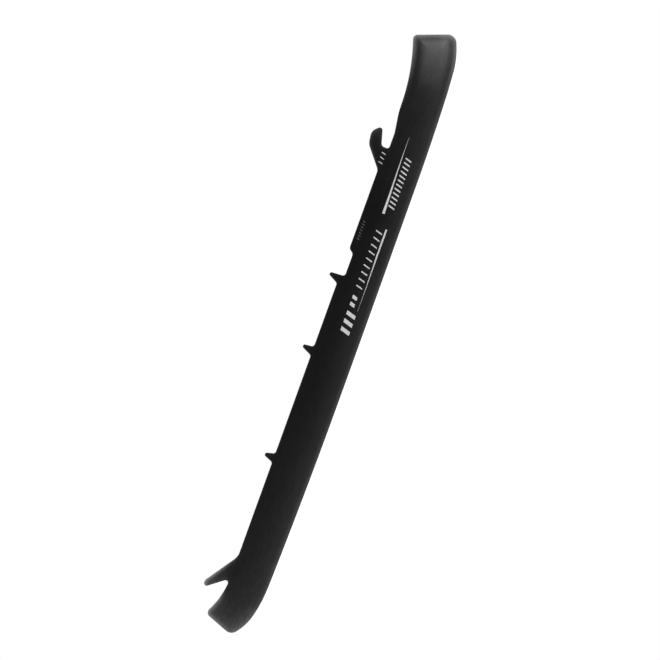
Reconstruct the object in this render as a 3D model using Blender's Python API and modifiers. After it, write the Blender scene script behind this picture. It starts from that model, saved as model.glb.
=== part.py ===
"""Steel runner for an ice hockey goalkeeper's skate.

A single bar of hardened steel. +X runs from the toe to the heel, +Z from the ice edge up to the
blade holder, and the marked side faces -Y. The origin is on the holder seat, half way along the
blade and in the middle of its thickness, so heights are above the seat and the ice edge is below.
Sizes are in millimetres and angles in degrees, and MM turns a length into metres.
"""
from math import acos, asin, ceil, copysign, cos, pi, radians, sin, sqrt, tan

import bmesh
import bpy
from mathutils import Matrix, Vector

MM = 0.001

# The bar
BLADE_LENGTH = 272.0
BODY_HEIGHT = 17.95       # from the lowest point of the ice edge up to the holder seat
THICKNESS = 4.0
EDGE_ROUND = 0.3          # tumbled rounding of every edge that isn't ground
COATING_COLOUR = (0.012, 0.012, 0.013, 1.0)

# Ice edge: each arc is (radius, distance from that end of the blade at which it stops)
LOW_POINT = 110.5         # lowest point of the rocker, from the toe end
TOE_ROCKER = ((2900.0, 27.5), (186.0, 21.2), (57.0, 10.4), (23.5, 0.0))
HEEL_ROCKER = ((29500.0, 64.0), (1100.0, 28.0), (300.0, 14.4), (37.0, 0.0))
HOLLOW_RADIUS = 19.0      # grinding wheel's dressed radius
HOLLOW_COLUMNS = 8        # strips across the hollow
GRIND_END = 60.0          # the wheel leaves the blade where the edge has turned up this far

# Ends of the blade
TOE_NOSE_RADIUS = 3.8
TOE_LEAN = 21.1
TOE_TOP = 4.9
TOE_CORNER_RADIUS = 2.05
TOE_DIP = (13.0, 0.7, 35.5)         # from the toe end, height, radius
HEEL_NOSE_RADIUS = 3.8
HEEL_LEAN = 20.2
HEEL_TOP = 5.4
HEEL_CORNER_RADIUS = 1.9
HEEL_DIP = (20.75, 0.3, 88.0)       # from the heel end, height, radius
HEEL_KNEE = (38.15, 0.0, 27.0)

# Toe tang, the spike that hooks into the front of the holder; heights are above the seat
TANG_ROOT = 21.7          # from the toe end
TANG_WIDTH = 9.95         # along the seat, where its flanks meet it
TANG_FRONT_SLOPE = 53.0
TANG_BACK_SLOPE = 34.9
TANG_FRONT_HEIGHT = 9.2
TANG_BACK_HEIGHT = 10.15
TANG_FRONT_RADII = (1.15, 1.1)      # root, tip
TANG_BACK_RADII = (6.5, 1.85)

# Barbs: each is (place of its front root as a share of the seat, lean run, height)
BARBS = ((0.2440, 2.5, 5.9), (0.5202, 3.35, 6.7), (0.7072, 3.5, 6.45))
BARB_WIDTH = 3.95
BARB_ROOT_RADIUS = 1.3
BARB_TIP_RADIUS = 0.84

# Locating notch behind the last barb
NOTCH_LENGTH = 10.2
NOTCH_DEPTH = 2.2
NOTCH_RAMP = 1.6
NOTCH_RADIUS = 2.0

# Latch hook, measured from its throat wall
HOOK_WALL = 54.7          # throat wall, from the heel end
HOOK_RAMP = 9.95          # run of the front ramp at the seat
HOOK_CROWN_FRONT = (-0.7, 7.45, 6.1)    # along, height, radius
HOOK_CROWN_BACK = (4.85, 8.2, 3.9)
HOOK_TIP = (8.4, 4.35, 1.2)
HOOK_CEILING = (0.1, 1.95, 1.7)
HOOK_ROOT_RADIUS = 3.3
THROAT_DEPTH = 1.4
THROAT_LENGTH = 7.3
THROAT_RADIUS = 1.1
THROAT_MOUTH_RADIUS = 7.5

CHORD_ERROR = 0.004       # how far a facet may cut inside a true arc
FILLET_SHARE = 0.98       # most of a straight that the fillets at its ends may take
SHARP_FROM = 25.0         # corners between faces this steep are shaded sharp

HALF_LENGTH = BLADE_LENGTH / 2


def steps_in(sweep, radius):
    """Number of chords that keeps an arc within CHORD_ERROR."""
    chord_angle = 2 * acos(1 - CHORD_ERROR / radius)
    return max(1, ceil(abs(sweep) / chord_angle))


def edge_arcs(reach, rocker, nose_radius, lean):
    """Arcs of one half of the ice edge, outward from the lowest point, as
    (centre, radius, first angle, last angle). The last one is the nose, which just touches
    the end of the blade and turns up into the leaning end face."""
    arcs = []
    point = Vector((0.0, -BODY_HEIGHT))
    heading = 0.0
    for index, (radius, stop) in enumerate(rocker):
        centre = point + radius * Vector((-sin(heading), cos(heading)))
        if index < len(rocker) - 1:
            turned = asin((reach - stop - centre.x) / radius)
        else:
            turned = asin((reach - nose_radius - centre.x) / (radius - nose_radius))
        arcs.append((centre, radius, heading, turned))
        heading = turned
        point = centre + radius * Vector((sin(heading), -cos(heading)))
    centre = point + nose_radius * Vector((-sin(heading), cos(heading)))
    arcs.append((centre, nose_radius, heading, radians(90 + lean)))
    return arcs


def arc_points(arcs):
    """Points along a chain of arcs."""
    points = []
    for centre, radius, start, end in arcs:
        count = steps_in(end - start, radius)
        for step in range(1 if points else 0, count + 1):
            angle = start + (end - start) * step / count
            points.append(centre + radius * Vector((sin(angle), -cos(angle))))
    return points


def ice_edge():
    """The ice edge with both noses, from the toe's end face to the heel's."""
    low = LOW_POINT - HALF_LENGTH
    toe = edge_arcs(LOW_POINT, TOE_ROCKER, TOE_NOSE_RADIUS, TOE_LEAN)
    heel = edge_arcs(BLADE_LENGTH - LOW_POINT, HEEL_ROCKER, HEEL_NOSE_RADIUS, HEEL_LEAN)
    line = [Vector((low - p.x, p.y)) for p in reversed(arc_points(toe))]
    line += [Vector((low + p.x, p.y)) for p in arc_points(heel)[1:]]
    return line


def rounded(corners):
    """Points of an open line of (x, z, radius) corners, with each corner filleted. Two fillets
    that would meet on the straight between them are made smaller together."""
    places = [Vector(corner[:2]) for corner in corners]
    straights = [ahead - back for back, ahead in zip(places, places[1:])]
    turns = [0.0] + [back.angle(ahead) for back, ahead in zip(straights, straights[1:])] + [0.0]
    tangents = [corner[2] * tan(turn / 2) for corner, turn in zip(corners, turns)]
    room = [straight.length * FILLET_SHARE / max(straight.length * FILLET_SHARE, back + ahead)
            for straight, back, ahead in zip(straights, tangents, tangents[1:])]
    points = []
    for index in range(1, len(corners) - 1):
        corner, turn = places[index], turns[index]
        back = -straights[index - 1].normalized()
        ahead = straights[index].normalized()
        radius = corners[index][2] * min(room[index - 1], room[index])
        centre = corner + (back + ahead).normalized() * radius / cos(turn / 2)
        arm = corner + back * radius * tan(turn / 2) - centre
        side = copysign(1, back.y * ahead.x - back.x * ahead.y)
        count = steps_in(turn, radius)
        for step in range(count + 1):
            points.append(centre + Matrix.Rotation(side * turn * step / count, 2) @ arm)
    return points


def end_corner(face_foot, lean, height, direction):
    """Where a leaning end face reaches a height."""
    return face_foot.x - direction * (height - face_foot.y) * tan(radians(lean)), height


def toe_corners():
    """Tang and toe top, in the order heel to toe."""
    root = TANG_ROOT - HALF_LENGTH
    back_root = root + TANG_WIDTH
    front_run = TANG_FRONT_HEIGHT / tan(radians(TANG_FRONT_SLOPE))
    back_run = TANG_BACK_HEIGHT / tan(radians(TANG_BACK_SLOPE))
    dip_from_end, dip_height, dip_radius = TOE_DIP
    return [
        (back_root, 0.0, TANG_BACK_RADII[0]),
        (back_root - back_run, TANG_BACK_HEIGHT, TANG_BACK_RADII[1]),
        (root - front_run, TANG_FRONT_HEIGHT, TANG_FRONT_RADII[1]),
        (root, 0.0, TANG_FRONT_RADII[0]),
        (dip_from_end - HALF_LENGTH, dip_height, dip_radius),
    ]


def seat_corners():
    """Notch and barbs, in the order heel to toe."""
    seat_start = TANG_ROOT + TANG_WIDTH - HALF_LENGTH
    seat_end = HALF_LENGTH - HOOK_WALL - HOOK_RAMP
    corners = []
    for place, run, height in reversed(BARBS):
        front = seat_start + place * (seat_end - seat_start)
        back = front + BARB_WIDTH
        if corners:
            corners.append((back, 0.0, BARB_ROOT_RADIUS))
        else:
            # the last barb's back runs on down to the notch floor
            ramp = back + NOTCH_LENGTH
            corners.append((ramp + NOTCH_RAMP, 0.0, NOTCH_RADIUS))
            corners.append((ramp, -NOTCH_DEPTH, NOTCH_RADIUS))
            corners.append((back, -NOTCH_DEPTH, BARB_ROOT_RADIUS))
        corners.append((front + run, height, BARB_TIP_RADIUS))
        corners.append((front, 0.0, BARB_ROOT_RADIUS))
    return corners


def heel_corners():
    """Heel top, throat and latch hook, in the order heel to toe."""
    wall = HALF_LENGTH - HOOK_WALL
    corners = [(HALF_LENGTH - along, height, radius)
               for along, height, radius in (HEEL_DIP, HEEL_KNEE)]
    corners.append((wall + THROAT_LENGTH, -THROAT_DEPTH, THROAT_MOUTH_RADIUS))
    corners.append((wall, -THROAT_DEPTH, THROAT_RADIUS))
    for along, height, radius in (HOOK_CEILING, HOOK_TIP, HOOK_CROWN_BACK, HOOK_CROWN_FRONT):
        corners.append((wall + along, height, radius))
    corners.append((wall - HOOK_RAMP, 0.0, HOOK_ROOT_RADIUS))
    return corners


def runner_outline():
    """Closed outline, anticlockwise seen from the marked side."""
    edge = ice_edge()
    toe_foot, heel_foot = edge[0], edge[-1]
    heel_top = end_corner(heel_foot, HEEL_LEAN, HEEL_TOP, 1)
    toe_top = end_corner(toe_foot, TOE_LEAN, TOE_TOP, -1)
    corners = [(*heel_foot, 0.0), (*heel_top, HEEL_CORNER_RADIUS)]
    corners += heel_corners() + seat_corners() + toe_corners()
    corners += [(*toe_top, TOE_CORNER_RADIUS), (*toe_foot, 0.0)]
    return edge + rounded(corners)


def plate_from_outline(name, outline, thickness):
    """Mesh object of a flat plate, standing in the XZ plane with its own Z to the marked side."""
    curve = bpy.data.curves.new(name, 'CURVE')
    curve.dimensions = '2D'
    curve.fill_mode = 'BOTH'
    curve.extrude = thickness / 2 * MM
    spline = curve.splines.new('POLY')
    spline.points.add(len(outline) - 1)
    for spline_point, point in zip(spline.points, outline):
        spline_point.co = (point.x * MM, point.y * MM, 0.0, 1.0)
    spline.use_cyclic_u = True
    shape = bpy.data.objects.new(name + '_outline', curve)
    shape.rotation_euler = (pi / 2, 0.0, 0.0)
    bpy.context.scene.collection.objects.link(shape)
    bpy.context.view_layer.update()

    depsgraph = bpy.context.evaluated_depsgraph_get()
    mesh = bpy.data.meshes.new_from_object(shape.evaluated_get(depsgraph))
    mesh.name = name
    plate = bpy.data.objects.new(name, mesh)
    plate.matrix_world = shape.matrix_world
    bpy.data.objects.remove(shape)
    return plate


def is_ground(wall):
    """Whether the grinding wheel touches this strip of the rim."""
    low = wall.calc_center_median().y < -BODY_HEIGHT / 2 * MM
    return low and wall.normal.y < -cos(radians(GRIND_END))


def weld_plate(work):
    """Join the caps to the rim, and make each cap one face."""
    bmesh.ops.remove_doubles(work, verts=work.verts, dist=0.000001)
    for side in (1, -1):
        cap = [face for face in work.faces if face.normal.z * side > 0.9]
        bmesh.ops.dissolve_faces(work, faces=cap)


def mark_rounded_edges(work):
    """Give the rim a bevel weight everywhere but along the ground ice edge."""
    weight = work.edges.layers.float.new('bevel_weight_edge')
    for edge in work.edges:
        walls = [face for face in edge.link_faces if abs(face.normal.z) < 0.5]
        if len(walls) == 1 and not is_ground(walls[0]):
            edge[weight] = 1.0


def grind_hollow(work):
    """Split the ground strip lengthways and raise it to the wheel's dressed radius."""
    half = THICKNESS / 2
    rim_depth = sqrt(HOLLOW_RADIUS ** 2 - half ** 2)
    across = [edge for edge in work.edges
              if all(abs(face.normal.z) < 0.5 and is_ground(face) for face in edge.link_faces)]
    inward = {}
    for edge in across:
        place = edge.verts[0].co
        inward[round(place.x, 7)] = -sum((face.normal for face in edge.link_faces), Vector())
    cut = bmesh.ops.subdivide_edges(work, edges=across, cuts=HOLLOW_COLUMNS - 1,
                                    use_grid_fill=True)
    for vert in cut['geom_inner']:
        if isinstance(vert, bmesh.types.BMVert):
            depth = sqrt(HOLLOW_RADIUS ** 2 - (vert.co.z / MM) ** 2) - rim_depth
            vert.co += inward[round(vert.co.x, 7)].normalized() * depth * MM


def coated_steel():
    material = bpy.data.materials.new('black_coated_steel')
    material.use_nodes = True
    shader = material.node_tree.nodes['Principled BSDF']
    shader.inputs['Base Color'].default_value = COATING_COLOUR
    shader.inputs['Metallic'].default_value = 0.6
    shader.inputs['Roughness'].default_value = 0.42
    material.diffuse_color = COATING_COLOUR
    return material


def make_runner(collection):
    """Blank the plate, grind the hollow into its ice edge and round the rest of its rim."""
    runner = plate_from_outline('runner', runner_outline(), THICKNESS)
    work = bmesh.new()
    work.from_mesh(runner.data)
    weld_plate(work)
    mark_rounded_edges(work)
    grind_hollow(work)
    work.to_mesh(runner.data)
    work.free()
    runner.data.shade_smooth()
    runner.data.set_sharp_from_angle(angle=radians(SHARP_FROM))
    runner.data.materials.clear()
    runner.data.materials.append(coated_steel())
    collection.objects.link(runner)

    rounding = runner.modifiers.new('tumbled_edges', 'BEVEL')
    rounding.limit_method = 'WEIGHT'
    rounding.width = EDGE_ROUND * MM
    rounding.segments = 2
    rounding.use_clamp_overlap = False
    return runner


def main():
    for old in list(bpy.data.objects):
        bpy.data.objects.remove(old, do_unlink=True)
    part = bpy.data.collections.new('goalie_skate_runner')
    bpy.context.scene.collection.children.link(part)
    make_runner(part)


main()
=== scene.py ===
import math

import bmesh
import bpy
import numpy as np
from mathutils import Matrix, Vector


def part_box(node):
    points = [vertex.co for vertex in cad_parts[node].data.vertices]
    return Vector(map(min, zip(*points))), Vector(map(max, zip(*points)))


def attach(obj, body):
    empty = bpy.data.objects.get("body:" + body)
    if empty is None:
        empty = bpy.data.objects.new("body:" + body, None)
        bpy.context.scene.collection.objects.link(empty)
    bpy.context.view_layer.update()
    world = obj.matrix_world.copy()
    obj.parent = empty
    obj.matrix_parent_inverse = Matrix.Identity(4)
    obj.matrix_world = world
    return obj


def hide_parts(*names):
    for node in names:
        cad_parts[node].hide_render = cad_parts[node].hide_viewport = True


# The steel runner of a goalkeeper's skate: one black coated bar with printed marks, in a plain studio.
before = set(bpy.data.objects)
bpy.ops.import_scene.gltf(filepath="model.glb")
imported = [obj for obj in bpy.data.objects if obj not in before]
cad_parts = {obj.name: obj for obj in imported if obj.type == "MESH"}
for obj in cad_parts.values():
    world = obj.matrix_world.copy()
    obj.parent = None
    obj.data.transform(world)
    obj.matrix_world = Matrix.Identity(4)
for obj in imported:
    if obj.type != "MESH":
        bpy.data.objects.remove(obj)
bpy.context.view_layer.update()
mm = 0.001
runnerLow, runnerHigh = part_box("runner")
bladeLength = (runnerHigh.x - runnerLow.x) / mm
print("frame loaded:", sorted(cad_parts))


def deselectAll():
    bpy.ops.object.select_all(action='DESELECT')


def makeActive(obj):
    deselectAll()
    obj.select_set(True)
    bpy.context.view_layer.objects.active = obj


def toLinear(hexColour):
    # sRGB hex to the linear colour that sockets want
    channels = [int(hexColour[i:i + 2], 16) / 255 for i in (1, 3, 5)]
    return [c / 12.92 if c <= 0.04045 else ((c + 0.055) / 1.055) ** 2.4 for c in channels] + [1.0]


def shaded(hexColour, share):
    # the same colour with that share of its light
    return [c * share for c in toLinear(hexColour)[:3]] + [1.0]


def addNode(tree, kind, settings=None, stops=None, **inputs):
    # one node with its settings; an input is set from a value or linked from a socket.
    # n0, n1 and so on are inputs by number: a Mix node's colours are n6 and n7, and its result is output 2
    node = tree.nodes.new(kind)
    for name, value in (settings or {}).items():
        setattr(node, name, value)
    for index, (place, colour) in enumerate(stops or []):
        elements = node.color_ramp.elements
        element = elements[index] if index < 2 else elements.new(place)
        element.position = place
        element.color = colour
    for name, value in inputs.items():
        key = int(name[1:]) if name[0] == 'n' and name[1:].isdigit() else name.replace('_', ' ')
        if isinstance(value, bpy.types.NodeSocket):
            tree.links.new(value, node.inputs[key])
        else:
            node.inputs[key].default_value = value
    return node


def startMaterial(name):
    material = bpy.data.materials.new(name)
    material.use_nodes = True
    tree = material.node_tree
    return material, tree, tree.nodes["Principled BSDF"]


def placeInMm(tree):
    spot = addNode(tree, "ShaderNodeTexCoord").outputs["Object"]
    return addNode(tree, "ShaderNodeVectorMath", {"operation": 'SCALE'}, Vector=spot, Scale=1 / mm).outputs[0]


runnerLook = {
    "mergeWithin": 0.002 * mm,
    "sideWithin": 0.002 * mm,    # a point this close to a flat side lies in it
    "gridStep": 1.0 * mm,        # spacing of the cuts across the two flat sides
    "gridShift": 0.37 * mm,      # keeps the cuts off the outline's own points
    "gridMargin": 0.2 * mm,      # no cut is this close to the far end
    "rollWidth": 1.6 * mm,       # how far in from the rim tumbling has worn the sides
    "rollDepth": 0.022 * mm,
    "endRollWidth": 2.6 * mm,    # the ends stand proud in the tumbler, so they wear more
    "endRollDepth": 0.07 * mm,
    "endReach": 30 * mm,
    "smoothBelow": 28,           # degrees
    "iceBelow": -5 * mm,         # the ground ice edge lies below this height
    "heelBeyond": 0.9,           # the heel face is past this share of the way from the middle to the end
    # how squarely a face has to look some way, as the part of its normal that points there
    "flatFacing": 0.9999,        # out from a flat side
    "groundFacing": 0.45,        # down, on the ground ice edge
    "groundTilt": 0.2,           # and no more than this sideways
    "heelFacing": 0.7,           # back, on the heel face
    "crestFacing": 0.3,          # up, on a crest
}


def copyOfNode(nodeName, pieceName):
    # the node's mesh is loose triangles, so a copy of it is merged
    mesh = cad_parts[nodeName].data.copy()
    mesh.materials.clear()
    piece = bpy.data.objects.new(pieceName, mesh)
    bpy.context.scene.collection.objects.link(piece)
    makeActive(piece)
    bpy.ops.object.mode_set(mode='EDIT')
    bpy.ops.mesh.select_all(action='SELECT')
    bpy.ops.mesh.remove_doubles(threshold=runnerLook["mergeWithin"])
    bpy.ops.object.mode_set(mode='OBJECT')
    if mesh.has_custom_normals:
        bpy.ops.mesh.customdata_custom_splitnormals_clear()
    return piece


def selectFlatSides(piece):
    bpy.ops.mesh.select_all(action='DESELECT')
    work = bmesh.from_edit_mesh(piece.data)
    for face in work.faces:
        fromSide = min(abs(face.calc_center_median().y - side.y) for side in (runnerLow, runnerHigh))
        if abs(face.normal.y) > runnerLook["flatFacing"] and fromSide < runnerLook["sideWithin"]:
            face.select_set(True)
    bmesh.update_edit_mesh(piece.data)


def cutGrid(piece):
    # a square grid of cuts gives the flat sides points that can be worn down
    bpy.ops.object.mode_set(mode='EDIT')
    bpy.ops.mesh.select_mode(type='FACE')
    selectFlatSides(piece)
    bpy.ops.mesh.dissolve_faces()
    selectFlatSides(piece)
    bpy.ops.mesh.hide(unselected=True)
    for axis, normal in ((0, (1, 0, 0)), (2, (0, 0, 1))):
        place = runnerLow[axis] + runnerLook["gridShift"]
        while place < runnerHigh[axis] - runnerLook["gridMargin"]:
            point = [0.0, 0.0, 0.0]
            point[axis] = place
            bpy.ops.mesh.select_all(action='SELECT')
            bpy.ops.mesh.bisect(plane_co=point, plane_no=normal)
            place += runnerLook["gridStep"]
    bpy.ops.mesh.reveal(select=False)
    bpy.ops.object.mode_set(mode='OBJECT')


def isGround(middle, facing):
    # a face of the hollow that the sharpening wheel leaves in the ice edge
    facesDown = facing.z < -runnerLook["groundFacing"] and abs(facing.y) < runnerLook["groundTilt"]
    return middle.z < runnerLook["iceBelow"] and facesDown


def sideBorder(mesh, onSide):
    # the outline of the marked side as segments in the XZ plane, and which of them
    # lie on the ice edge, on the heel's end face and on a crest
    work = bmesh.new()
    work.from_mesh(mesh)
    work.normal_update()
    flat = [abs(face.normal.y) > runnerLook["flatFacing"] and onSide[face.verts[0].index]
            for face in work.faces]
    heelStart = runnerLook["heelBeyond"] * runnerHigh.x
    segments, ground, heelFace, crest = [], [], [], []
    for edge in work.edges:
        if len(edge.link_faces) != 2 or edge.verts[0].co.y > 0:
            continue
        first, second = edge.link_faces
        if flat[first.index] == flat[second.index]:
            continue
        wall = second if flat[first.index] else first
        middle, facing = wall.calc_center_median(), wall.normal
        upright = math.hypot(facing.x, facing.z)
        segments.append([[v.co.x, v.co.z] for v in edge.verts])
        ground.append(isGround(middle, facing))
        heelFace.append(middle.x > heelStart and facing.x > runnerLook["heelFacing"] * upright)
        crest.append(facing.z > runnerLook["crestFacing"] * upright)
    work.free()
    return np.array(segments), np.array(ground), np.array(heelFace), np.array(crest)


def rimDistances(points, segments):
    # distance in the XZ plane from each point to the nearest segment, for a batch of points at a time
    batch, tiny = 4000, 1e-18
    starts = segments[:, 0]
    runs = segments[:, 1] - starts
    length2 = np.maximum((runs ** 2).sum(1), tiny)
    nearest = np.zeros(len(points))
    for index in range(0, len(points), batch):
        spots = points[index:index + batch, None]
        share = np.clip(((spots - starts) * runs).sum(2) / length2, 0, 1)
        gaps = spots - (starts + share[:, :, None] * runs)
        nearest[index:index + batch] = np.sqrt((gaps ** 2).sum(2)).min(1)
    return nearest


def rollRim(piece):
    # wear the flat sides down a little towards the rim, as tumbling does, and keep each
    # point's distances, from which the coat's painted light is laid
    mesh, look = piece.data, runnerLook
    spots = np.zeros(len(mesh.vertices) * 3)
    mesh.vertices.foreach_get("co", spots)
    spots = spots.reshape(-1, 3)
    fromSide = np.minimum(abs(spots[:, 1] - runnerLow.y), abs(spots[:, 1] - runnerHigh.y))
    onSide = fromSide < look["sideWithin"]
    border, ground, heelFace, crest = sideBorder(mesh, onSide)
    fromRim = np.zeros(len(spots))
    fromRim[onSide] = rimDistances(spots[onSide][:, [0, 2]], border)
    distances = {"rimDistance": fromRim}
    for name, chosen in (("groundDistance", ground), ("heelDistance", heelFace),
                         ("flankDistance", ~heelFace), ("crestDistance", crest)):
        distances[name] = rimDistances(spots[:, [0, 2]], border[chosen])

    toEnd = np.minimum(spots[:, 0] - runnerLow.x, runnerHigh.x - spots[:, 0])
    nearEnd = np.clip(1 - toEnd / look["endReach"], 0, 1) ** 0.5
    width = look["rollWidth"] + (look["endRollWidth"] - look["rollWidth"]) * nearEnd
    depth = look["rollDepth"] + (look["endRollDepth"] - look["rollDepth"]) * nearEnd
    worn = depth * np.clip(1 - fromRim / width, 0, 1) ** 2
    spots[:, 1] -= np.sign(spots[:, 1]) * worn * onSide
    mesh.vertices.foreach_set("co", spots.ravel())
    for name, values in distances.items():
        attribute = mesh.attributes.new(name, 'FLOAT', 'POINT')
        attribute.data.foreach_set("value", (values / mm).astype(np.float32))
    mesh.update()
    print("rim worn:", len(border), "segments,", int(ground.sum()), "of them ground")


def makeRunner():
    piece = copyOfNode("runner", "steelRunner")
    cutGrid(piece)
    rollRim(piece)
    makeActive(piece)
    bpy.ops.object.shade_smooth_by_angle(angle=math.radians(runnerLook["smoothBelow"]))
    print("runner:", len(piece.data.polygons), "faces")
    return piece


runner = makeRunner()


noiseLow, noiseHigh = 0.3, 0.7   # nearly all of a noise pattern lies between these

# A tone is an sRGB colour or a linear grey. Places along the blade are in mm from the toe, and
# distances are in mm from the rim that is named.
coatLook = {
    # the coat's dark tone along the blade, with painted light: darkest past the middle, lighter towards both
    # ends
    "alongTones": [(0, "#2e2e2e"), (13.6, "#272727"), (26.1, "#1f1f1f"), (54.4, "#1a1a1a"),
                   (100.6, "#141414"), (163, "#111111"), (190, "#0f0f0f"), (212, "#161616"),
                   (231, "#1d1d1e"), (272, "#1f1f20")],
    # a painted sheen on the heel: a painted reflection inside a darker line, and a painted highlight
    # brightest at its rim
    "heelSheenTones": [(0, "#707070"), (0.8, "#5c5c5c"), (1.5, "#424243"), (2, "#303031"), (2.7, "#313132"),
                  (3.6, "#464647"), (4.6, "#5a5a5b"), (6, "#646465"), (10, "#69696a")],
    "heelFaceSheenTones": [(0, "#808080"), (0.6, "#6e6e6e"), (1.2, "#5a5a5b"), (1.7, "#535354"),
                  (2.4, "#606061"), (3.4, "#6b6b6c"), (10, "#6b6b6c")],
    "heelReach": 10.0,
    "heelCorner": (-0.5, 1.5),   # where one run of tones gives way to the other
    "heelShare": [(236, 0), (244, 0.05), (248, 0.11), (250, 0.215), (252, 0.28), (256, 0.415),
                  (260, 0.61), (264, 0.84), (266, 0.97), (272, 1)],
    # painted light added along the rims and crests, as painted highlights and painted reflections; "share" is
    # how much of it along the blade, and "above" is the height over the seat where it starts and where it is
    # full
    "layers": [
        # a painted reflection all along the ice edge
        {"by": "groundDistance", "reach": 14.0, "share": [(0, 1)],
         "tones": [(0, 0.078), (0.6, 0.058), (0.9, 0.052), (1.2, 0.041), (1.5, 0.031), (2.1, 0.0205),
                   (2.7, 0.0175), (3.9, 0.0138), (5.1, 0.0105), (6.3, 0.008), (8.7, 0.0042),
                   (11.2, 0.0015), (14, 0)]},
        # a painted reflection on the turned-up end of the ice edge, at the heel
        {"by": "groundDistance", "reach": 9.0,
         "share": [(240, 0), (248, 0.1), (258, 0.2), (262, 0.42), (266, 0.95), (270, 1)],
         "tones": [(0, 0), (0.9, 0.012), (2.2, 0.025), (4, 0.032), (5.5, 0.02), (7.5, 0)]},
        # a painted highlight on the rim of the toe
        {"by": "rimDistance", "reach": 8.0, "share": [(6, 1), (9, 0.8), (14, 0.2), (17, 0)],
         "tones": [(0, 0.075), (1, 0.037), (2, 0.023), (3, 0.017), (4, 0.011), (5.6, 0.004), (8, 0)]},
        # painted highlights on the top of the toe, and on the back of the tang
        {"by": "crestDistance", "reach": 2.0, "share": [(0, 0.35), (5, 0.6), (12, 0.5), (15, 0)],
         "tones": [(0, 0.08), (0.5, 0.07), (0.9, 0.045), (1.3, 0.018), (2, 0)]},
        {"by": "crestDistance", "reach": 1.5, "share": [(13, 0), (15, 1), (28, 1), (34, 0)],
         "above": (1.5, 7.5),
         "tones": [(0, 0.1), (0.4, 0.09), (0.7, 0.055), (1, 0.016), (1.5, 0)]},
        # painted light on the tips of the tang and the hook, lighter with height, and a painted highlight on
        # the rim above the seat
        {"by": "height", "reach": 10.0,
         "share": [(40, 1), (60, 0.06), (214, 0.04), (220, 0.15), (223.5, 0.9)],
         "tones": [(0, 0), (2.5, 0.008), (5, 0.018), (7.5, 0.034), (10, 0.065)]},
        {"by": "rimDistance", "reach": 1.4, "share": [(40, 1), (60, 0.25), (205, 0.25), (215, 0.6)],
         "above": (-0.5, 1),
         "tones": [(0, 0.035), (0.4, 0.018), (0.85, 0.007), (1.4, 0)]},
    ],
    "streakLength": 5.0,         # mm, drag marks from tumbling
    "streakWidth": 0.45,
    "streakSwing": 0.12,         # how far the marks change the tone, up and down
    "grain": 0.8,                # mm; the real grain is near 0.1 mm and wouldn't show
    "grainSwing": 0.07,
    "mottle": 14.0,
    "mottleSwing": 0.06,
    "scuffLength": 3.2,          # mm, the few short scuffs and nicks
    "scuffWidth": 0.32,
    "scuffShift": (3.1, 0.0, 1.7),
    "scuffShare": [(10, 1), (75, 0.25)],
    "scuffTones": [(0, 0.45), (0.34, 0.75), (0.39, 1), (0.62, 1), (0.67, 1.25), (1, 1.7)],
    "roughness": 0.42,
    "roughnessSwing": 0.05,
    "specular": 0.15,            # the coat is so dark and matt that it gives back little shine
    "reliefStrength": 0.25,
    "reliefDepth": 0.01 * mm,
}


def toStops(stops, reach):
    # places as shares of the reach, and tones as linear colours
    return [(place / reach, toLinear(tone) if isinstance(tone, str) else [tone, tone, tone, 1.0])
            for place, tone in stops]


def rampOver(tree, socket, stops, reach):
    # tones that follow a distance, which the socket gives in mm
    share = addNode(tree, "ShaderNodeMath", {"operation": 'DIVIDE'}, n0=socket, n1=reach).outputs[0]
    return addNode(tree, "ShaderNodeValToRGB", stops=toStops(stops, reach), Fac=share).outputs[0]


def paintHeelSheen(tree, tone, fromToe, distance):
    # one run of painted sheen tones in from the long rims, another in from the end face, met along the
    # corner's diagonal
    look = coatLook
    fromFlank = rampOver(tree, distance["rimDistance"], look["heelSheenTones"], look["heelReach"])
    fromFace = rampOver(tree, distance["heelDistance"], look["heelFaceSheenTones"], look["heelReach"])
    nearer = addNode(tree, "ShaderNodeMath", {"operation": 'SUBTRACT'},
                     n0=distance["flankDistance"], n1=distance["heelDistance"]).outputs[0]
    start, end = look["heelCorner"]
    onFace = addNode(tree, "ShaderNodeMapRange", {"interpolation_type": 'SMOOTHSTEP'},
                     n0=nearer, n1=start, n2=end).outputs[0]
    heel = addNode(tree, "ShaderNodeMix", {"data_type": 'RGBA'},
                   n0=onFace, n6=fromFlank, n7=fromFace).outputs[2]
    share = rampOver(tree, fromToe, look["heelShare"], bladeLength)
    return addNode(tree, "ShaderNodeMix", {"data_type": 'RGBA'}, n0=share, n6=tone, n7=heel).outputs[2]


def addPaintedHighlights(tree, tone, fromToe, distance):
    # each layer adds its painted light over the stretch of blade and the height that it covers
    for layer in coatLook["layers"]:
        added = rampOver(tree, distance[layer["by"]], layer["tones"], layer["reach"])
        share = rampOver(tree, fromToe, layer["share"], bladeLength) if len(layer["share"]) > 1 else 1.0
        if "above" in layer:
            foot, full = layer["above"]
            risen = addNode(tree, "ShaderNodeMapRange", n0=distance["height"], n1=foot, n2=full).outputs[0]
            share = addNode(tree, "ShaderNodeMath", {"operation": 'MULTIPLY'}, n0=share, n1=risen).outputs[0]
        tone = addNode(tree, "ShaderNodeMix", {"data_type": 'RGBA', "blend_type": 'ADD'},
                       n0=share, n6=tone, n7=added).outputs[2]
    return tone


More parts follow.
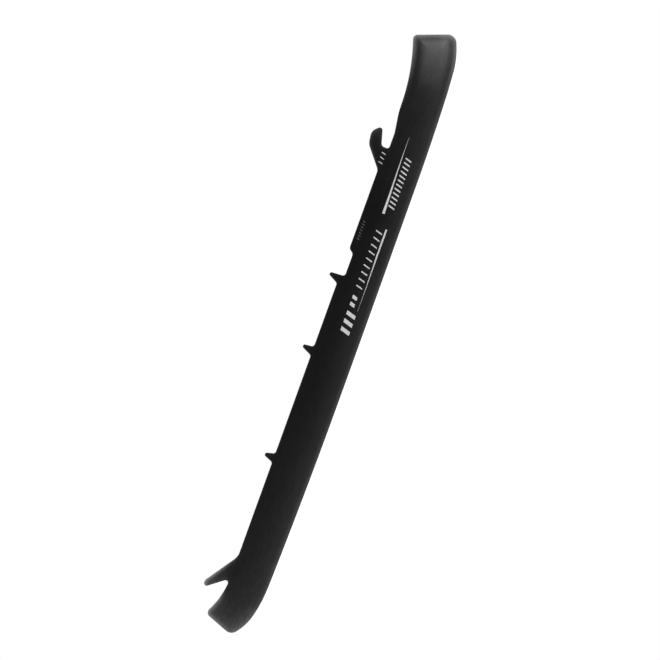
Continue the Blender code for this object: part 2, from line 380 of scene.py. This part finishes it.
def blackCoatedTumbledSteel():
    # Hard black coating over tumbled steel: satin, nearly neutral, with a fine grain and faint lengthways
    # drag marks; painted sheen and painted highlights make it greyer along the ice edge, at both ends and at
    # the tips of the horns.
    look = coatLook
    material, tree, shader = startMaterial("blackCoatedTumbledSteel")
    inMm = placeInMm(tree)
    parts = addNode(tree, "ShaderNodeSeparateXYZ", Vector=inMm)
    fromToe = addNode(tree, "ShaderNodeMath", {"operation": 'SUBTRACT'},
                      n0=parts.outputs["X"], n1=runnerLow.x / mm).outputs[0]
    names = ("rimDistance", "groundDistance", "heelDistance", "flankDistance", "crestDistance")
    distance = {name: addNode(tree, "ShaderNodeAttribute", {"attribute_name": name}).outputs["Fac"]
                for name in names}
    distance["height"] = parts.outputs["Z"]
    # the coat's tone along the blade with painted light, then the painted heel sheen and the painted
    # highlights
    tone = rampOver(tree, fromToe, look["alongTones"], bladeLength)
    tone = paintHeelSheen(tree, tone, fromToe, distance)
    tone = addPaintedHighlights(tree, tone, fromToe, distance)

    # drag marks, grain, slow mottle and scuffs multiply the tone
    streakSize = (1 / look["streakLength"], 1 / look["streakWidth"], 1 / look["streakWidth"])
    streakSpot = addNode(tree, "ShaderNodeMapping", Vector=inMm, Scale=streakSize).outputs[0]
    streaks = addNode(tree, "ShaderNodeTexNoise",
                      Vector=streakSpot, Scale=1.0, Detail=3.0, Roughness=0.6).outputs[0]
    grain = addNode(tree, "ShaderNodeTexNoise",
                    Vector=inMm, Scale=1 / look["grain"], Detail=2.0, Roughness=0.6).outputs[0]
    mottle = addNode(tree, "ShaderNodeTexNoise", Vector=inMm, Scale=1 / look["mottle"], Detail=2.0).outputs[0]
    for pattern, swing in ((streaks, look["streakSwing"]), (grain, look["grainSwing"]),
                           (mottle, look["mottleSwing"])):
        factor = addNode(tree, "ShaderNodeMapRange", n0=pattern, n1=noiseLow, n2=noiseHigh,
                         n3=1 - swing, n4=1 + swing).outputs[0]
        tone = addNode(tree, "ShaderNodeMix", {"data_type": 'RGBA', "blend_type": 'MULTIPLY'},
                       n0=1.0, n6=tone, n7=factor).outputs[2]
    scuffSize = (1 / look["scuffLength"], 1 / look["scuffWidth"], 1 / look["scuffWidth"])
    scuffSpot = addNode(tree, "ShaderNodeMapping",
                        Vector=inMm, Location=look["scuffShift"], Scale=scuffSize).outputs[0]
    scuffs = addNode(tree, "ShaderNodeTexNoise", Vector=scuffSpot, Scale=1.0, Detail=1.0).outputs[0]
    factor = addNode(tree, "ShaderNodeValToRGB", stops=toStops(look["scuffTones"], 1), Fac=scuffs).outputs[0]
    share = rampOver(tree, fromToe, look["scuffShare"], bladeLength)
    tone = addNode(tree, "ShaderNodeMix", {"data_type": 'RGBA', "blend_type": 'MULTIPLY'},
                   n0=share, n6=tone, n7=factor).outputs[2]
    tree.links.new(tone, shader.inputs["Base Color"])

    gloss = addNode(tree, "ShaderNodeMapRange", n0=streaks, n1=noiseLow, n2=noiseHigh,
                    n3=look["roughness"] - look["roughnessSwing"],
                    n4=look["roughness"] + look["roughnessSwing"]).outputs[0]
    tree.links.new(gloss, shader.inputs["Roughness"])
    shader.inputs["Specular IOR Level"].default_value = look["specular"]
    relief = addNode(tree, "ShaderNodeMath", {"operation": 'ADD'}, n0=streaks, n1=grain).outputs[0]
    bump = addNode(tree, "ShaderNodeBump", Height=relief,
                   Strength=look["reliefStrength"], Distance=look["reliefDepth"]).outputs[0]
    tree.links.new(bump, shader.inputs["Normal"])
    return material


steelLook = {
    "colour": "#b4b5b8",
    "lineShade": 0.72,           # light left in the bottom of a grinding line
    "lineLength": 9.0,           # mm, grinding lines along the blade
    "lineWidth": 0.2,            # real ones are near 0.05 mm and wouldn't show
    "roughness": 0.3,
    "roughnessSwing": 0.08,
    "reliefStrength": 0.4,
    "reliefDepth": 0.01 * mm,
}


def bareGroundSteel():
    # Stainless steel bared by the grinding wheel: bright, with fine lines along the blade that
    # stretch the shine.
    look = steelLook
    material, tree, shader = startMaterial("bareGroundSteel")
    lineSize = (1 / look["lineLength"], 1 / look["lineWidth"], 1 / look["lineLength"])
    lineSpot = addNode(tree, "ShaderNodeMapping", Vector=placeInMm(tree), Scale=lineSize).outputs[0]
    lines = addNode(tree, "ShaderNodeTexNoise",
                    Vector=lineSpot, Scale=1.0, Detail=3.0, Roughness=0.6).outputs[0]
    tones = [(0.35, shaded(look["colour"], look["lineShade"])), (0.6, toLinear(look["colour"]))]
    colour = addNode(tree, "ShaderNodeValToRGB", stops=tones, Fac=lines).outputs[0]
    tree.links.new(colour, shader.inputs["Base Color"])
    gloss = addNode(tree, "ShaderNodeMapRange", n0=lines, n1=noiseLow, n2=noiseHigh,
                    n3=look["roughness"] - look["roughnessSwing"],
                    n4=look["roughness"] + look["roughnessSwing"]).outputs[0]
    tree.links.new(gloss, shader.inputs["Roughness"])
    shader.inputs["Metallic"].default_value = 1.0
    bump = addNode(tree, "ShaderNodeBump", Height=lines,
                   Strength=look["reliefStrength"], Distance=look["reliefDepth"]).outputs[0]
    tree.links.new(bump, shader.inputs["Normal"])
    return material


runner.data.materials.append(blackCoatedTumbledSteel())
runner.data.materials.append(bareGroundSteel())
for face in runner.data.polygons:
    face.material_index = int(isGround(face.center, face.normal))
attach(runner, "root")
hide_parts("runner")
print("coat ready")


printLook = {
    "proud": 0.02 * mm,
    "sunk": 0.05 * mm,
    "lean": 17,                  # degrees from upright, towards the heel
    "speckle": 0.6,              # mm
    "speckleShade": 0.8,
    "roughness": 0.5,
}
inkFace = runnerLow.y - printLook["proud"]

# Bars in even rows: "first" is the place of a row's first bar from the toe and "foot" is its height
# above the ice edge. A stripe is a list of stations of place, foot and height. All are in mm.
barsLook = {
    "ink": "#e4e4e4",
    "rows": [
        {"count": 3, "first": 136.4, "spacing": 3.6, "foot": 5.5, "width": 1.7, "height": 4.2},
        {"count": 2, "first": 148.4, "spacing": 3.1, "foot": 7.5, "width": 1.5, "height": 2.2},
        {"count": 9, "first": 156.8, "spacing": 3.1, "foot": 6.9, "width": 0.55, "height": 2.9},
        {"count": 12, "first": 193.4, "spacing": 1.95, "foot": 5.6, "width": 0.64, "height": 2.85},
        {"count": 3, "first": 210.1, "spacing": 2.1, "foot": 17.0, "width": 0.36, "height": 1.9},
    ],
    "stripes": [
        [(147.5, 5.45, 0.06), (158, 5.42, 0.2), (166, 5.42, 0.4), (172, 5.42, 0.62), (184.5, 5.4, 0.75)],
        [(190.5, 8.78, 1.14), (195, 8.95, 0.95), (200, 9.15, 0.75), (205, 9.38, 0.56),
         (210, 9.58, 0.44), (215, 9.78, 0.28), (220, 9.92, 0.14), (225, 10.02, 0.04)],
    ],
}

ticksLook = {
    "ink": "#585858",
    "rows": [{"count": 7, "first": 176.4, "spacing": 1.3, "foot": 15.3, "width": 0.4, "height": 1.1}],
    "stripes": [],
}


def keepSelected(marks, isChosen):
    # of the points that are selected, keep those that pass the test
    work = bmesh.from_edit_mesh(marks.data)
    for vert in [v for v in work.verts if v.select]:
        vert.select_set(isChosen(vert.co))
    work.select_flush(False)
    bmesh.update_edit_mesh(marks.data)


def addQuad(left, foot, width, height):
    centre = Vector((left + width / 2, inkFace, foot + height / 2))
    bpy.ops.mesh.primitive_plane_add(size=mm, location=centre, rotation=(math.pi / 2, 0, 0))
    bpy.ops.transform.resize(value=(width / mm, 1, height / mm), center_override=centre)
    return centre


def addBar(marks, left, foot, width, height):
    centre = addQuad(left, foot, width, height)
    keepSelected(marks, lambda co: co.z > centre.z)
    bpy.ops.transform.translate(value=(height * math.tan(math.radians(printLook["lean"])), 0, 0))


def addStripe(marks, stations):
    # a quad between the first two stations, then its right edge is drawn on from station to station
    placed = [(runnerLow.x + along * mm, runnerLow.z + foot * mm, height * mm)
              for along, foot, height in stations]
    left, foot, height = placed[0]
    centre = addQuad(left, foot, placed[1][0] - left, height)
    keepSelected(marks, lambda co: co.x > centre.x)
    for index, (nextLeft, nextFoot, nextHeight) in enumerate(placed[1:]):
        if index == 0:
            bpy.ops.transform.translate(value=(0, 0, nextFoot - foot))
        else:
            move = (nextLeft - left, 0, nextFoot - foot)
            bpy.ops.mesh.extrude_edges_move(TRANSFORM_OT_translate={"value": move})
        bpy.ops.transform.resize(value=(1, 1, nextHeight / height),
                                 center_override=(nextLeft, inkFace, nextFoot))
        left, foot, height = nextLeft, nextFoot, nextHeight


def padPrintedInk(name, hexColour):
    # Pad-printed satin ink: a thin, even, grey film with slightly soft speckle.
    look = printLook
    material, tree, shader = startMaterial(name)
    speckle = addNode(tree, "ShaderNodeTexNoise",
                      Vector=placeInMm(tree), Scale=1 / look["speckle"], Detail=3.0).outputs[0]
    tones = [(0.3, shaded(hexColour, look["speckleShade"])), (0.6, toLinear(hexColour))]
    colour = addNode(tree, "ShaderNodeValToRGB", stops=tones, Fac=speckle).outputs[0]
    tree.links.new(colour, shader.inputs["Base Color"])
    shader.inputs["Roughness"].default_value = look["roughness"]
    return material


def printMarks(name, look, material):
    deselectAll()
    bpy.ops.object.add(type='MESH')
    marks = bpy.context.active_object
    marks.name = name
    marks.data.name = name
    bpy.ops.object.mode_set(mode='EDIT')
    bpy.ops.mesh.select_mode(type='VERT')
    for row in look["rows"]:
        for index in range(row["count"]):
            left = runnerLow.x + (row["first"] + row["spacing"] * index) * mm
            foot = runnerLow.z + row["foot"] * mm
            addBar(marks, left, foot, row["width"] * mm, row["height"] * mm)
    for stations in look["stripes"]:
        addStripe(marks, stations)
    bpy.ops.mesh.select_all(action='SELECT')
    bpy.ops.mesh.extrude_region_move(TRANSFORM_OT_translate={"value": (0, printLook["sunk"], 0)})
    bpy.ops.mesh.select_all(action='SELECT')
    bpy.ops.mesh.normals_make_consistent(inside=False)
    bpy.ops.object.mode_set(mode='OBJECT')
    marks.data.materials.append(material)
    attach(marks, "root")
    print(name, "printed:", len(marks.data.polygons), "faces")


printMarks("printedBars", barsLook, padPrintedInk("padPrintedLightGreyInk", barsLook["ink"]))
# The same ink thinned and dark, so that this row only just shows.
printMarks("faintTicks", ticksLook, padPrintedInk("padPrintedFaintGreyInk", ticksLook["ink"]))


stageLook = {
    "floorSize": 1.8,
    "floorColour": "#646464",    # how the paper looks to the piece: darker than it shows
    "floorGlow": 0.86,           # added for the camera alone, so the paper shows near white
    "skyLight": 0.14,
    "overhead": {"place": (0, 0, 1.5), "aim": (0, 0, 0), "size": 2.2, "power": 72},
    # one pair of these stands in front and one behind
    "heelSide": {"place": (1.3, 1.2, 1.1), "aim": (0.05, 0, 0), "size": 0.9, "power": 12},
    "toeSide": {"place": (-1.3, 1.2, 1.1), "aim": (-0.05, 0, 0), "size": 0.9, "power": 10},
}

shot = {
    "aim": (0.000073, -0.002, -0.004074),   # the point at the middle of the view
    "roll": 70.13,                          # degrees, toe end down and to the left
    "distance": 2.2,
    "seen": 0.28171,                        # width of the view at the aim, in metres
    "sensor": 36,                           # mm
    "clip": (0.05, 60),
}


def makeFloor():
    bpy.ops.mesh.primitive_plane_add(size=stageLook["floorSize"], location=(0, 0, runnerLow.z))
    floor = bpy.context.active_object
    floor.name = "floor"
    material, tree, shader = startMaterial("paleMattPaper")
    shader.inputs["Base Color"].default_value = toLinear(stageLook["floorColour"])
    shader.inputs["Roughness"].default_value = 1.0
    shader.inputs["Specular IOR Level"].default_value = 0.0
    shader.inputs["Emission Color"].default_value = (1, 1, 1, 1)
    seen = addNode(tree, "ShaderNodeLightPath").outputs["Is Camera Ray"]
    glow = addNode(tree, "ShaderNodeMath", {"operation": 'MULTIPLY'}, n0=seen, n1=stageLook["floorGlow"])
    tree.links.new(glow.outputs[0], shader.inputs["Emission Strength"])
    floor.data.materials.append(material)


def makeSky():
    world = bpy.data.worlds.new("studio")
    bpy.context.scene.world = world
    world.use_nodes = True
    tree = world.node_tree
    tree.nodes.clear()
    seen = addNode(tree, "ShaderNodeLightPath").outputs["Is Camera Ray"]
    dim = addNode(tree, "ShaderNodeBackground", Color=(1, 1, 1, 1), Strength=stageLook["skyLight"]).outputs[0]
    white = addNode(tree, "ShaderNodeBackground", Color=(1, 1, 1, 1), Strength=1.0).outputs[0]
    sky = addNode(tree, "ShaderNodeMixShader", n0=seen, n1=dim, n2=white).outputs[0]
    addNode(tree, "ShaderNodeOutputWorld", Surface=sky)


def addSoftbox(name, box, side):
    place = Vector(box["place"]) * Vector((1, side, 1))
    bpy.ops.object.light_add(type='AREA', location=place)
    light = bpy.context.active_object
    light.name = name
    light.rotation_euler = (Vector(box["aim"]) - place).to_track_quat('-Z', 'Y').to_euler()
    light.data.shape = 'SQUARE'
    light.data.size = box["size"]
    light.data.energy = box["power"]
    light.visible_camera = False


def makeCamera():
    angle = math.radians(shot["roll"])
    right = Vector((math.cos(angle), 0, -math.sin(angle)))
    up = Vector((math.sin(angle), 0, math.cos(angle)))
    back = Vector((0, -1, 0))
    bpy.ops.object.camera_add(location=Vector(shot["aim"]) + back * shot["distance"])
    camera = bpy.context.active_object
    camera.rotation_euler = Matrix((right, up, back)).transposed().to_euler()
    camera.data.sensor_width = shot["sensor"]
    camera.data.lens = shot["sensor"] * shot["distance"] / shot["seen"]
    camera.data.clip_start, camera.data.clip_end = shot["clip"]
    bpy.context.scene.camera = camera


makeFloor()
makeSky()
addSoftbox("overheadSoftbox", stageLook["overhead"], 1)
for side, sideName in ((-1, "front"), (1, "back")):
    addSoftbox(sideName + "HeelSoftbox", stageLook["heelSide"], side)
    addSoftbox(sideName + "ToeSoftbox", stageLook["toeSide"], side)
makeCamera()
bpy.context.scene.view_settings.view_transform = 'Standard'
print("stage ready")
